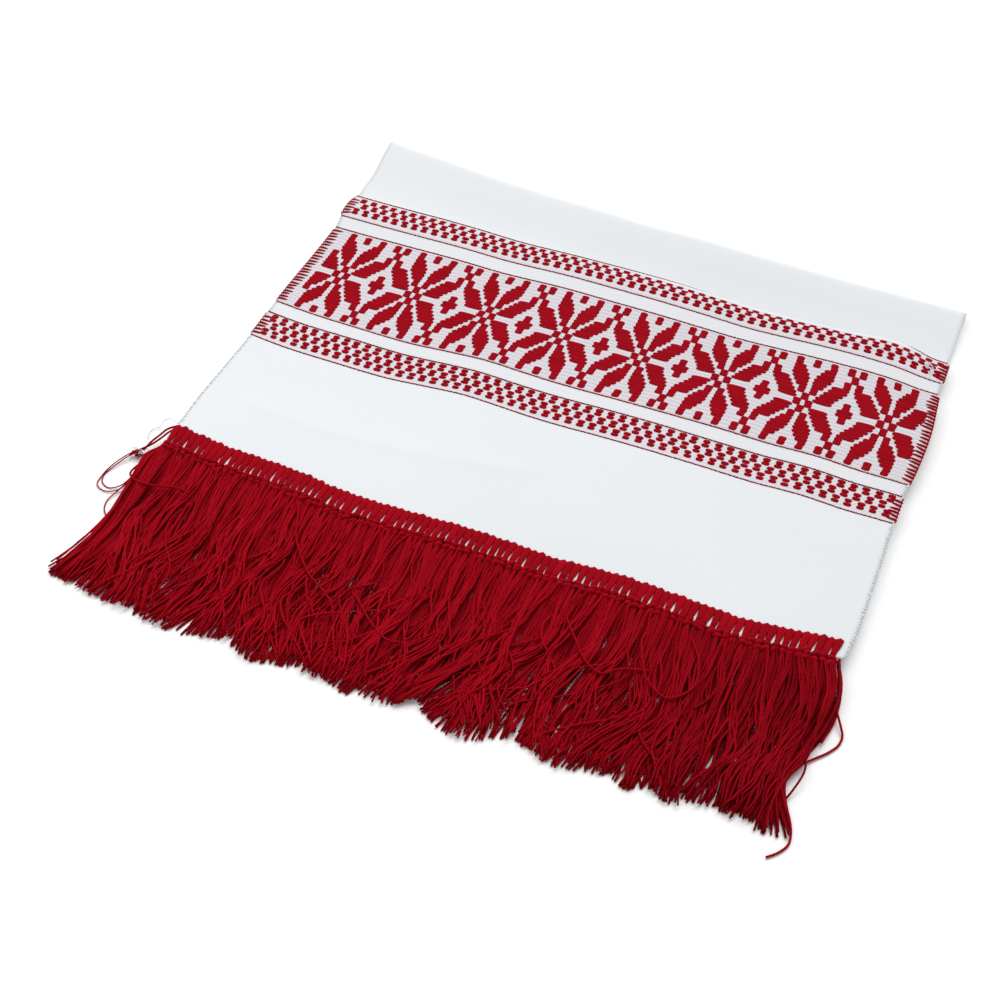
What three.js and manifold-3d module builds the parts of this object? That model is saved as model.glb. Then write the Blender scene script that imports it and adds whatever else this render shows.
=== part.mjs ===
// A woven ritual towel with a red yarn fringe, folded back and forth in four layers and lying flat.
// Millimetres, +Z up. X runs across the cloth, -Y points to the fringed end, and the floor is z = 0.
// While the towel is built, y = 0 is the line where the fringe heading begins on the cloth.

import * as THREE from "three";
import Module from "manifold-3d";

const wasm = await Module();
wasm.setup();

// Driving dimensions of the cloth
const clothWidth = 353;
const clothThick = 1.2;
const stepsAcross = 18;
const foldSteps = 6;

// Driving dimensions of the fringe
const wrapCount = 95;
const headingLeft = -176.6;
const headingRight = 172.6;
const hemParting = 0.4;
const strandCount = 152;
const strandWidth = 1.7;
const strandHeight = 1.1;
const strandTaper = 0.2;
const strandRoot = { behindHem: 12.6, underMiddle: 0.5 };
const strandSway = { size: 1.7, along: 21, across: 29 };
const strandEnds = { shortFrom: 0.35, shortest: 12, uneven: 1.5 };

// Where the towel's middle goes, so that it stands centred over the origin
const centreX = -4.3;
const centreY = 74.5;

// The hem's line: how far it bows towards the fringe at each place across the cloth.
const hemLine = [
  { at: -176.5, y: 0.6 },
  { at: -132, y: -1.4 },
  { at: -75, y: -3.7 },
  { at: -21, y: -4.4 },
  { at: 33, y: -6.9 },
  { at: 83, y: -7.1 },
  { at: 130, y: -4.8 },
  { at: 176.5, y: 0 },
];

// The heading's outline from back to front, measured from the hem's line and the cloth's middle. Between two
// wraps it has the first place, and on a wrap's crest it gains crestY and crestZ.
const headingOutline = [
  { y: -0.5, z: -0.9, crestY: 0.9, crestZ: 0 },
  { y: -0.5, z: 0.7, crestY: 0.9, crestZ: 0.5 },
  { y: -10, z: 0.4, crestY: 0, crestZ: 0.5 },
  { y: -12.4, z: 1, crestY: 0, crestZ: 0.5 },
  { y: -13.9, z: 0, crestY: -0.5, crestZ: 0 },
  { y: -12.4, z: -1.1, crestY: 0, crestZ: 0 },
];

// The fringe: how far its tips reach, how far they drift sideways and how far the strands bow on the way.
const fringeLay = [
  { at: -176.5, reach: -99, drift: -7, bow: -9 },
  { at: -160, reach: -102, drift: -6, bow: -4 },
  { at: -128, reach: -105, drift: -4, bow: -3 },
  { at: -100, reach: -104, drift: -5, bow: 1 },
  { at: -68, reach: -108, drift: -3, bow: -2 },
  { at: -30, reach: -106, drift: -2, bow: 2 },
  { at: -2, reach: -108, drift: -3, bow: 0 },
  { at: 10, reach: -95, drift: -1, bow: 1 },
  { at: 36, reach: -110, drift: 1, bow: 3 },
  { at: 72, reach: -112, drift: 0, bow: 1 },
  { at: 95, reach: -104, drift: 2, bow: 4 },
  { at: 118, reach: -108, drift: -1, bow: 2 },
  { at: 139, reach: -102, drift: -2, bow: 4 },
  { at: 159, reach: -108, drift: -4, bow: 5 },
  { at: 172.6, reach: -104, drift: -5, bow: 6 },
];

// How a strand comes down from the hem to the floor: distance from its root, share of the root's height.
const strandFall = [
  { from: 0, share: 1 },
  { from: 7, share: 0.92 },
  { from: 20, share: 0.32 },
  { from: 33, share: 0 },
  { from: 62, share: 0 },
];

// One row for each section along the folded cloth. y and z are the middle of the sheet in the towel's middle,
// skew and lift are what they gain at the right edge and lose at the left, left and right move the two
// selvedges, and wave says how much of the top layer's waviness the section shares. A row with a reach is a
// fold: a half ellipse that goes that far past the sections on both sides of it.
const sections = [
  { y: 6, z: 6.2, skew: 0, lift: 0, left: 0, right: 1, wave: 0.6 },
  { y: 22, z: 6.5, skew: 0, lift: 0, left: -0.4, right: 1, wave: 1 },
  { y: 50, z: 6.6, skew: 0, lift: 0, left: 0.2, right: 0.2, wave: 1 },
  { y: 78, z: 6.7, skew: 0, lift: 0, left: 0.7, right: -0.7, wave: 1 },
  { y: 98, z: 6.8, skew: 0, lift: -0.1, left: 0.3, right: -1, wave: 1 },
  { y: 120, z: 7.2, skew: 0, lift: -0.2, left: 0.3, right: 0.3, wave: 1 },
  { y: 145, z: 7.6, skew: -0.4, lift: -0.4, left: 0.9, right: 0.5, wave: 1 },
  { y: 166, z: 8.1, skew: -0.8, lift: -0.6, left: 1.5, right: -1.2, wave: 1 },
  { y: 180, z: 8.6, skew: -1.2, lift: -0.8, left: 1.4, right: -2.4, wave: 0.9 },
  { y: 193, z: 9.1, skew: -1.6, lift: -1, left: -0.8, right: -2.8, wave: 0.8 },
  { y: 205, z: 9.4, skew: -2, lift: -1.2, left: -1.3, right: -3.2, wave: 0.7 },
  { reach: 4.4 },
  { y: 205, z: 4.3, skew: -2, lift: -0.2, left: -0.2, right: -4, wave: 0.4 },
  { y: 170, z: 4.3, skew: -1, lift: 0, left: 1, right: -3, wave: 0.5 },
  { y: 110, z: 4.3, skew: 0, lift: 0, left: 1, right: -2, wave: 0.5 },
  { y: 55, z: 4.3, skew: 0, lift: 0, left: 0.8, right: -2, wave: 0.5 },
  { y: 14, z: 4.3, skew: 1, lift: 0, left: 1.2, right: -3, wave: 0.3 },
  { reach: 2.6 },
  { y: 14, z: 2.4, skew: 1, lift: 0, left: 1.4, right: -3, wave: 0.2 },
  { y: 80, z: 2.4, skew: 0, lift: 0, left: 1, right: -3, wave: 0.3 },
  { y: 150, z: 2.4, skew: -1, lift: 0, left: 0.6, right: -3, wave: 0.3 },
  { y: 200, z: 2.5, skew: -3, lift: -0.1, left: -0.2, right: -4, wave: 0.3 },
  { y: 216, z: 3, skew: -4, lift: -0.4, left: -0.6, right: -3.6, wave: 0.5 },
  { y: 228, z: 4.4, skew: -5, lift: -0.8, left: -1.4, right: -3.5, wave: 0.7 },
  { y: 240, z: 6.2, skew: -6.2, lift: -1.4, left: -4, right: -3.8, wave: 0.8 },
  { y: 250, z: 7.4, skew: -7.4, lift: -1.9, left: -5.6, right: -4, wave: 0.8 },
  { reach: 5.4 },
  { y: 250, z: 0.6, skew: -7.4, lift: 0, left: -5, right: -4, wave: 0 },
  { y: 225, z: 0.6, skew: -5, lift: 0, left: -2, right: -4, wave: 0 },
  { y: 120, z: 0.6, skew: 0, lift: 0, left: 1.4, right: -3, wave: 0 },
  { y: 20, z: 0.6, skew: 1, lift: 0, left: 1.6, right: -3, wave: 0 },
];

// The corner of the selvedge that shows beside the heading's right end
const tab = { front: -12, start: headingRight + hemParting, flare: 0.5, droop: 0.5, stepBefore: 0.3 };

// The slow waves of the cloth: how high, how long across and along it, and where each starts
const waves = [
  { size: 0.28, across: 31, along: 47, start: 0.7 },
  { size: 0.22, across: 52, along: -33, start: 2.1 },
];

// The back right corner of the top layer sags towards the floor.
const sag = { depth: 2.1, fromX: 148, overX: 28, fromY: 160, overY: 40 };

const red = new THREE.Color(0.6, 0.02, 0.06);
const white = new THREE.Color(0.88, 0.89, 0.9);

// A smooth curve through one column of a table, read at any place
function columnCurve(table, place, column) {
  const places = Float32Array.from(table, (row) => row[place]);
  const values = Float32Array.from(table, (row) => row[column]);
  const interpolant = new THREE.CubicInterpolant(places, values, 1);
  return (at) => {
    const inside = THREE.MathUtils.clamp(at, places[0], places.at(-1));
    return interpolant.evaluate(inside)[0];
  };
}

// A fixed scatter between -1 and 1 for a whole number
function scatter(index, seed) {
  const turn = Math.sin(index * 12.9898 + seed * 78.233) * 43758.5453;
  return 2 * (turn - Math.floor(turn)) - 1;
}

const hemAt = columnCurve(hemLine, "at", "y");

// How far the waves lift the cloth at one place
function clothWave(x, y) {
  const heights = waves.map((wave) => wave.size * Math.sin(x / wave.across + y / wave.along + wave.start));
  return heights.reduce((sum, height) => sum + height, 0);
}

// How far the top layer sags near its back right corner
function sagAt(x, y) {
  const acrossPart = THREE.MathUtils.smoothstep(x, sag.fromX, sag.fromX + sag.overX);
  const alongPart = THREE.MathUtils.smoothstep(y, sag.fromY, sag.fromY + sag.overY);
  return sag.depth * acrossPart * alongPart;
}

// The places across the cloth where it is built, from -1 to 1 of its half width
function placesAcross() {
  const half = clothWidth / 2;
  const lastEven = (tab.start - tab.stepBefore) / half;
  const places = [];
  for (let step = 0; step <= stepsAcross; step += 1) {
    places.push(-1 + ((lastEven + 1) * step) / stepsAcross);
  }
  places.push(tab.start / half);
  places.push(1);
  return places;
}

// The middle of the sheet at one section and one place across
function sheetPoint(section, place, isTop) {
  const half = clothWidth / 2;
  const leftEdge = -half + section.left;
  const rightEdge = half + section.right;
  const x = THREE.MathUtils.lerp(leftEdge, rightEdge, (place + 1) / 2);
  const y = section.y + section.skew * place;
  let z = section.z + section.lift * place + section.wave * clothWave(x, y);
  if (isTop) {
    z -= sagAt(x, y);
  }
  return new THREE.Vector3(x, y, z);
}

// The front edge of the top layer, parted from the heading, with its corner beside the heading's end
function frontPoint(place) {
  const point = sheetPoint(sections[0], place, true);
  point.y = hemAt(point.x) + headingOutline[0].y + headingOutline[0].crestY + hemParting;
  if (place >= tab.start / (clothWidth / 2)) {
    point.x += tab.flare;
    point.y = tab.front;
    point.z -= tab.droop;
  }
  return point;
}

// The half ellipse of a fold between the two sections that it joins, towards the back where reach is positive
function foldPoints(before, after, reach) {
  const points = [];
  for (let step = 1; step < foldSteps; step += 1) {
    const angle = (Math.PI * step) / foldSteps;
    const share = (1 - Math.cos(angle)) / 2;
    const point = before.clone().lerp(after, share);
    point.y += reach * Math.sin(angle);
    points.push(point);
  }
  return points;
}

// The sheet's middle surface: one row of points across for each section, with the folds filled in
function sheetRows() {
  const places = placesAcross();
  const firstFold = sections.findIndex((section) => section.reach);
  const rows = [places.map((place) => frontPoint(place))];
  let towardsBack = 1;
  sections.forEach((section, index) => {
    if (!section.reach) {
      rows.push(places.map((place) => sheetPoint(section, place, index < firstFold)));
      return;
    }
    const before = rows.at(-1);
    const next = sections[index + 1];
    const after = places.map((place) => sheetPoint(next, place, false));
    const reach = towardsBack * section.reach;
    const columns = places.map((place, column) => foldPoints(before[column], after[column], reach));
    for (let step = 0; step < foldSteps - 1; step += 1) {
      rows.push(columns.map((column) => column[step]));
    }
    towardsBack = -towardsBack;
  });
  return rows;
}

// The direction square to the sheet at one point of its grid
function sheetNormal(rows, row, column) {
  const above = rows[Math.min(row + 1, rows.length - 1)][column];
  const below = rows[Math.max(row - 1, 0)][column];
  const line = rows[row];
  const right = line[Math.min(column + 1, line.length - 1)];
  const left = line[Math.max(column - 1, 0)];
  const across = right.clone().sub(left);
  const along = above.clone().sub(below);
  return across.cross(along).normalize();
}

// A closed solid from rings of points: walls between the rings and a zipped cap at each end
function solidFromRings(rings) {
  const sides = rings[0].length;
  const positions = rings.flat().flatMap((point) => point.toArray());
  const triangles = [];
  const corner = (ring, side) => ring * sides + (side % sides);
  for (let ring = 0; ring < rings.length - 1; ring += 1) {
    for (let side = 0; side < sides; side += 1) {
      triangles.push(corner(ring, side), corner(ring, side + 1), corner(ring + 1, side + 1));
      triangles.push(corner(ring, side), corner(ring + 1, side + 1), corner(ring + 1, side));
    }
  }
  const last = rings.length - 1;
  for (let low = 0, high = sides - 1; low < high; low += 1, high -= 1) {
    triangles.push(corner(0, low), corner(0, high), corner(0, low + 1));
    triangles.push(corner(last, low), corner(last, low + 1), corner(last, high));
    if (high - low > 2) {
      triangles.push(corner(0, high), corner(0, high - 1), corner(0, low + 1));
      triangles.push(corner(last, high), corner(last, low + 1), corner(last, high - 1));
    }
  }
  return { positions, triangles };
}

// A mesh with its own material from a list of positions and triangles
function meshFrom(name, solid, color, roughness) {
  const geometry = new THREE.BufferGeometry();
  geometry.setAttribute("position", new THREE.Float32BufferAttribute(solid.positions, 3));
  geometry.setIndex(solid.triangles);
  geometry.computeVertexNormals();
  const material = new THREE.MeshStandardMaterial({ color, roughness, metalness: 0 });
  const mesh = new THREE.Mesh(geometry, material);
  mesh.name = name;
  return mesh;
}

// The cloth: its middle surface given its thickness
function makeCloth() {
  const rows = sheetRows();
  const rings = rows.map((line, row) => {
    const outer = [];
    const inner = [];
    line.forEach((point, column) => {
      const offset = sheetNormal(rows, row, column).multiplyScalar(clothThick / 2);
      outer.push(point.clone().add(offset));
      inner.push(point.clone().sub(offset));
    });
    return [...outer, ...inner.reverse()];
  });
  return meshFrom("cloth", solidFromRings(rings), white, 0.9);
}

// The middle of the heading, level with the cloth where it is looped on
function headingHeight(x) {
  return sections[0].z + sections[0].wave * clothWave(x, 0);
}

// The heading: yarn wraps side by side over the hem, each a rounded rib, with the knot line in front
function headingSolid() {
  const wrapWidth = (headingRight - headingLeft) / wrapCount;
  const rings = [];
  for (let step = 0; step <= 2 * wrapCount; step += 1) {
    const crest = step % 2;
    const x = headingLeft + (wrapWidth * step) / 2;
    const hem = hemAt(x);
    const height = headingHeight(x);
    const ring = headingOutline.map((corner) => {
      const y = hem + corner.y + crest * corner.crestY;
      return new THREE.Vector3(x, y, height + corner.z + crest * corner.crestZ);
    });
    rings.push(ring);
  }
  return solidFromRings(rings);
}

// One strand: three-sided with its flat side down, from inside the knot line to its tip on the floor
function strandSolid(index, layAt) {
  const rootX = THREE.MathUtils.lerp(headingLeft, headingRight, (index + 0.5) / strandCount);
  const rootY = hemAt(rootX) - strandRoot.behindHem;
  const rootZ = headingHeight(rootX) - strandRoot.underMiddle;
  const short = Math.max(0, scatter(index, 7) - strandEnds.shortFrom) * strandEnds.shortest;
  const length = rootY - layAt.reach(rootX) - short + strandEnds.uneven * scatter(index, 11);
  const stations = [...strandFall, { from: length, share: 0 }];
  const rings = stations.map((station) => {
    const from = station.from;
    const share = from / length;
    const sway = strandSway.size * share * Math.sin(from / strandSway.along + rootX / strandSway.across);
    const bow = layAt.bow(rootX) * Math.sin(Math.PI * share);
    const x = rootX + layAt.drift(rootX) * share * share + bow + sway;
    const y = rootY - from;
    const z = rootZ * station.share;
    const half = (strandWidth / 2) * (1 - strandTaper * share);
    return [
      new THREE.Vector3(x + half, y, z),
      new THREE.Vector3(x, y, z + strandHeight),
      new THREE.Vector3(x - half, y, z),
    ];
  });
  return solidFromRings(rings);
}

// A solid that can be joined to others
function toManifold(solid) {
  const vertProperties = Float32Array.from(solid.positions);
  const triVerts = Uint32Array.from(solid.triangles);
  return new wasm.Manifold(new wasm.Mesh({ numProp: 3, vertProperties, triVerts }));
}

// The fringe: the heading with the root of each strand fused into its knot line
function makeFringe() {
  const layAt = {
    reach: columnCurve(fringeLay, "at", "reach"),
    drift: columnCurve(fringeLay, "at", "drift"),
    bow: columnCurve(fringeLay, "at", "bow"),
  };
  let fringe = toManifold(headingSolid());
  for (let index = 0; index < strandCount; index += 1) {
    fringe = fringe.add(toManifold(strandSolid(index, layAt)));
  }
  const joined = fringe.getMesh();
  const solid = { positions: [...joined.vertProperties], triangles: [...joined.triVerts] };
  return meshFrom("fringe", solid, red, 0.85);
}

const towel = new THREE.Group();
towel.add(makeCloth());
towel.add(makeFringe());
towel.position.set(-centreX, -centreY, 0);

export default towel;
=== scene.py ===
# %% [markdown]
# This lesson dresses a rushnyk, the woven ritual towel of white cotton with a red star band and a red yarn
# fringe. It lies folded back and forth in four layers on a pale table, fringed end to the front.
# The imported model gives the frame: one body, a cloth solid and a fringe solid. Everything made here is in
# that frame, in metres, and stands for those two plain solids. The first cell loads the frame and keeps its
# meshes.

# %% Load the frame
import math
import bpy
import numpy as np
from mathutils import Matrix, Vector


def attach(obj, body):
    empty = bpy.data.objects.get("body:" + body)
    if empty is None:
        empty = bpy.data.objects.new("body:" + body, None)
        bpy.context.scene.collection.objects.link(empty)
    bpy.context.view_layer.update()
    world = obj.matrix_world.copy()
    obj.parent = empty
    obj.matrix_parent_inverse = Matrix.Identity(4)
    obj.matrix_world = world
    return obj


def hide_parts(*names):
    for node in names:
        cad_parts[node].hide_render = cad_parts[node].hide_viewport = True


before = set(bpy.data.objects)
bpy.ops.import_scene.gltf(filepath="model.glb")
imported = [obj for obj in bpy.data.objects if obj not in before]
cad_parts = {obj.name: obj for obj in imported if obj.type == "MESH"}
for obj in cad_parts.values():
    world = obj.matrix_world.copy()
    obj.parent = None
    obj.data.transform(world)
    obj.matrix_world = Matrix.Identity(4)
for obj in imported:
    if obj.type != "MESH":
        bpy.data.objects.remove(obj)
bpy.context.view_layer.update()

# %% [markdown]
# A weaver measures a towel from its hem and across its width, so the tables below are in millimetres from
# the hem's line and from the middle of the cloth. One small function moves them into the frame. Every curve
# in this lesson is read from a short table, and the cloth or yarn runs smoothly between its points. The hem,
# the back edge, the waves, the pushes, the drifts and the reach of the tips were measured on the photograph
# by small programs, most of them beside earlier pictures of this towel, and rounded. The crease, the strands
# and the loose yarns were picked by eye, and a small program turned those picks into millimetres.

# %% Measures, the towel's own frame and smooth curves
MM = 0.001
HALF_WIDTH = 176.5
CLOTH_THICK = 0.7
FRAME_SHIFT = np.array([4.3, -74.5, 0.0])
chance = np.random.default_rng(20)


def to_frame(points):
    """Towel millimetres to frame metres: add the shift of the towel's own zero, then divide by a thousand."""
    return (np.asarray(points, float) + FRAME_SHIFT) * MM


def through(at, places, values):
    """A smooth curve through a table. In each span it is the cubic that meets both points, with the slope at
    a point taken from its neighbours. Beyond the table it keeps the end's value."""
    places = np.asarray(places, float)
    values = np.asarray(values, float)
    slopes = np.gradient(values, places, axis=0)
    span = np.clip(np.searchsorted(places, at, side="right") - 1, 0, len(places) - 2)
    wide = places[span + 1] - places[span]
    t = np.clip((at - places[span]) / wide, 0, 1)
    if values.ndim > 1:
        wide = wide[..., None]
        t = t[..., None]
    start = values[span] * (2 * t**3 - 3 * t**2 + 1) + slopes[span] * wide * (t**3 - 2 * t**2 + t)
    end = values[span + 1] * (3 * t**2 - 2 * t**3) + slopes[span + 1] * wide * (t**3 - t**2)
    return start + end


def read(table, at):
    """The smooth curve of a table with two columns, places and values, read at the places given."""
    return through(at, table[:, 0], table[:, 1])


def ease(value, low, high):
    """From 0 at low to 1 at high, flat at both ends: three squares less two cubes of the share between."""
    share = np.clip((np.asarray(value, float) - low) / (high - low), 0, 1)
    return share * share * (3 - 2 * share)


def within(value, start, full, fading, gone):
    """Rises from 0 to 1 between start and full and falls back to 0 between fading and gone: the first ease
    times one less the second."""
    return ease(value, start, full) * (1 - ease(value, fading, gone))


HEM = np.array([
    (-176.5, 0.4), (-170, 0.1), (-155, -1.9), (-140, -3.2), (-125, -3.5), (-110, -3.6), (-95, -5.1),
    (-80, -6.9), (-65, -7.5), (-50, -7.3), (-35, -6.6), (-20, -5.8), (-5, -5.6), (10, -5.9), (25, -6.6),
    (40, -6.4), (55, -5.1), (70, -4.4), (85, -4.8), (100, -5.2), (115, -6.3), (130, -6.2), (145, -4.3),
    (160, -2.3), (176.5, -0.2),
])
GAIN_LEFT = 0.3
GAIN_MORE = 1.6


def hem_line(x):
    """How far the hem bows from a straight line, in millimetres, at a place across the cloth."""
    return read(HEM, x)


def edge_gain(x):
    """How much nearer the cloth's cut edge lies to the hem's line: the hem narrows from left to right, by
    GAIN_LEFT at the left selvedge and by GAIN_MORE more at the right one."""
    return GAIN_LEFT + GAIN_MORE * (np.asarray(x, float) + HALF_WIDTH) / (2 * HALF_WIDTH)


print("the hem bows by", round(float(np.ptp(HEM[:, 1])), 1), "mm")

# %% [markdown]
# Many small things in this towel are one shape again and again: a float of red weft, a bead of a twisted
# line, a strand of the fringe. Each is a closed ring of points carried along a line. The next cell closes
# whole arrays of such rings at once into meshes, with a point at each end, so that no surface is left open.
# It also writes the two numbers that a yarn finish needs: how far round the yarn, and how far along it.

# %% Rings into closed surfaces, and surfaces into pieces
def closed_rings(rings, along):
    """N separate surfaces from rings of shape (N, K, S, 3). Neighbouring rings are joined by quads, and
    each end is closed by triangles to the middle of its ring. along, of shape (N, K), is the length at each
    ring."""
    count, steps, sides = rings.shape[:3]
    ends = rings[:, [0, -1]].mean(axis=2)
    points = np.concatenate([rings.reshape(count, -1, 3), ends], axis=1)
    size = steps * sides + 2
    base = (np.arange(count) * size)[:, None, None]
    ring = np.arange(steps - 1)[None, :, None] * sides
    here = np.arange(sides)[None, None, :]
    after = (here + 1) % sides
    quads = np.stack([base + ring + here, base + ring + after,
                      base + ring + sides + after, base + ring + sides + here], axis=-1)
    base = base[:, :, 0]
    here = here[0]
    after = after[0]
    top = (steps - 1) * sides
    start = np.stack(np.broadcast_arrays(base + size - 2, base + after, base + here), axis=-1)
    stop = np.stack(np.broadcast_arrays(base + size - 1, base + top + here, base + top + after), axis=-1)
    round_a = np.broadcast_to(here / sides, (count, steps - 1, sides))
    round_b = round_a + 1 / sides
    low = np.broadcast_to(along[:, :-1, None], round_a.shape)
    high = np.broadcast_to(along[:, 1:, None], round_a.shape)
    quad_uv = np.stack([np.stack([round_a, low], -1), np.stack([round_b, low], -1),
                        np.stack([round_b, high], -1), np.stack([round_a, high], -1)], axis=-2)
    cap_uv = np.zeros((count, 2, sides, 3, 2))
    cap_uv[:, 0, :, :, 1] = along[:, :1, None]
    cap_uv[:, 1, :, :, 1] = along[:, -1:, None]
    tris = np.stack([start, stop], axis=1)
    return points, quads.reshape(-1, 4), tris.reshape(-1, 3), quad_uv.reshape(-1, 2), cap_uv.reshape(-1, 2)


def yarns(paths, radius, sides, squash=1.0):
    """Round yarn along paths of shape (N, K, 3). At each step the ring lies across the path: its first axis
    is level, its second is square to both, and squash flattens the second."""
    run = np.gradient(paths, axis=1)
    run /= np.linalg.norm(run, axis=-1, keepdims=True) + 1e-9
    level = np.cross([0.02, 0.01, 1.0], run)
    level /= np.linalg.norm(level, axis=-1, keepdims=True) + 1e-9
    upright = np.cross(run, level)
    turn = np.arange(sides) * 2 * math.pi / sides
    radius = np.broadcast_to(radius, paths.shape[:2])[:, :, None, None]
    rings = (paths[:, :, None, :]
             + radius * np.cos(turn)[:, None] * level[:, :, None, :]
             + radius * squash * np.sin(turn)[:, None] * upright[:, :, None, :])
    pace = np.linalg.norm(np.diff(paths, axis=1), axis=-1)
    along = np.concatenate([np.zeros((len(paths), 1)), np.cumsum(pace, axis=1)], axis=1) * MM
    return closed_rings(rings, along)


def several(*parts):
    """Joins surfaces from closed_rings into one set of arrays, each part's corners after the last one's."""
    offset = np.cumsum([0] + [parts[i][0].size // 3 for i in range(len(parts) - 1)])
    return (np.concatenate([p[0].reshape(-1, 3) for p in parts]),
            np.concatenate([p[1] + o for p, o in zip(parts, offset)]),
            np.concatenate([p[2] + o for p, o in zip(parts, offset)]),
            np.concatenate([p[3] for p in parts]), np.concatenate([p[4] for p in parts]))


def piece(name, surfaces, finish, stands_for, tone=None):
    """Puts whole arrays into a mesh with foreach_set and makes it a piece that rides on the towel. tone holds
    one number for each of its separate surfaces, which all have the same number of points."""
    points, quads, tris, quad_uv, tri_uv = surfaces
    points = points.reshape(-1, 3)
    mesh = bpy.data.meshes.new(name)
    mesh.vertices.add(len(points))
    mesh.vertices.foreach_set("co", to_frame(points).astype(np.float32).ravel())
    mesh.loops.add(quads.size + tris.size)
    mesh.loops.foreach_set("vertex_index", np.concatenate([quads.ravel(), tris.ravel()]).astype(np.int32))
    mesh.polygons.add(len(quads) + len(tris))
    starts = np.concatenate([np.arange(len(quads)) * 4, quads.size + np.arange(len(tris)) * 3])
    mesh.polygons.foreach_set("loop_start", starts.astype(np.int32))
    mesh.update(calc_edges=True)
    mesh.polygons.foreach_set("use_smooth", np.ones(len(mesh.polygons), bool))
    layer = mesh.uv_layers.new(name="weave")
    layer.data.foreach_set("uv", np.concatenate([quad_uv, tri_uv]).astype(np.float32).ravel())
    shade = mesh.attributes.new("tone", "FLOAT", "POINT")
    tone = np.array([0.5]) if tone is None else tone
    values = np.repeat(tone, len(points) // len(tone))
    shade.data.foreach_set("value", values.astype(np.float32))
    mesh.validate()
    made = bpy.data.objects.new(name, mesh)
    bpy.context.collection.objects.link(made)
    mesh.materials.append(finish)
    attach(made, "root")
    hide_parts(stands_for)
    print(f"{name}: {len(quads) * 2 + len(tris)} triangles")
    return made


# %% [markdown]
# The camera stands where the photographer's stood: to the right of the fringe, looking down at 47 degrees,
# with a long lens. It is set before any surface is made, so that every choice can be judged through it.

# %% The camera
def aimed(name, data, place, direction):
    """Puts a camera or a light at a place and turns its own downward axis along a direction."""
    made = bpy.data.objects.new(name, data)
    made.location = place
    made.rotation_mode = "QUATERNION"
    made.rotation_quaternion = Vector(direction).to_track_quat("-Z", "Y")
    bpy.context.collection.objects.link(made)
    return made


CAMERA_AT = Vector((0.2282, -0.5836, 0.6153))
LOOKS_AT = Vector((0.0, -0.0566, 0.0076))
camera_data = bpy.data.cameras.new("camera")
camera_data.sensor_width = 36.0
camera_data.lens = 61.8
bpy.context.scene.camera = aimed("camera", camera_data, CAMERA_AT, LOOKS_AT - CAMERA_AT)
print("camera", round((LOOKS_AT - CAMERA_AT).length * 1000), "mm from the towel")

# %% [markdown]
# The white cotton is a plain weave: every weft thread goes over one warp thread and under the next. Seen
# from half a metre it is matt and bright, with a faint grain. In the patterned band the extra red weft runs
# behind the white one, so the ground there is ribbed, a little pink, and dotted where red shows through. Its
# furrows are painted darker and pinker: partly red weft showing through, partly painted shade in the furrows.
# A ramp along the cloth says how patterned each stretch is: not at all in the plain field, a little between
# the bands, more in the borders and fully in the star band. The finish reads the cloth's own map, which holds
# the place across and the length along the towel in metres, so ribs and dots follow every fold. Small
# helpers keep the node trees short.

# %% Node helpers
def new_finish(name, rough, sheen, gloss):
    """A finish with one principled shader; returns the material, its node tree and that shader."""
    made = bpy.data.materials.new(name)
    made.use_nodes = True
    tree = made.node_tree
    shader = tree.nodes["Principled BSDF"]
    shader.inputs["Roughness"].default_value = rough
    shader.inputs["Specular IOR Level"].default_value = gloss
    shader.inputs["Sheen Weight"].default_value = sheen
    shader.inputs["Sheen Roughness"].default_value = 0.5
    return made, tree, shader


def node(tree, kind, inputs=(), **settings):
    """Adds a node, sets its properties, and links or sets the inputs given as pairs of name and value."""
    made = tree.nodes.new("ShaderNode" + kind)
    for key, value in settings.items():
        setattr(made, key, value)
    for key, value in inputs:
        if isinstance(value, bpy.types.NodeSocket):
            tree.links.new(value, made.inputs[key])
        else:
            made.inputs[key].default_value = value
    return made


def math_node(tree, operation, first, second=0.0, clamp=False):
    """One step of arithmetic on sockets or numbers."""
    made = node(tree, "Math", [(0, first), (1, second)], operation=operation)
    made.use_clamp = clamp
    return made.outputs[0]


def mixed(tree, share, first, second):
    """A colour between two, by a share from 0 to 1."""
    made = node(tree, "Mix", data_type="RGBA")
    for place, value in ((0, share), (6, first), (7, second)):
        if isinstance(value, bpy.types.NodeSocket):
            tree.links.new(value, made.inputs[place])
        else:
            made.inputs[place].default_value = value
    return made.outputs[2]


def wave_node(tree, value, pitch):
    """A sine of a length in metres, with one full wave in each pitch."""
    return math_node(tree, "SINE", math_node(tree, "MULTIPLY", value, 2 * math.pi / pitch))


# %% [markdown]
# The places of the thin lines along the cloth come first, because both the finish and the brocade need
# them. They are measured from the hem, along the cloth.

# %% Where the band's lines lie
LOW_BOTTOM = 79.1
LOW_TOP = 98.0
STAR_BOTTOM = 106.6
STAR_TOP = 177.3
UP_BOTTOM = 186.9
UP_TOP = 207.3
STAR_MIDDLE = (STAR_BOTTOM + STAR_TOP) / 2
ROW_PITCH = 5.2
FLOAT_PITCH = ROW_PITCH / 2
print("star band", round(STAR_TOP - STAR_BOTTOM, 1), "mm high")

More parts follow.
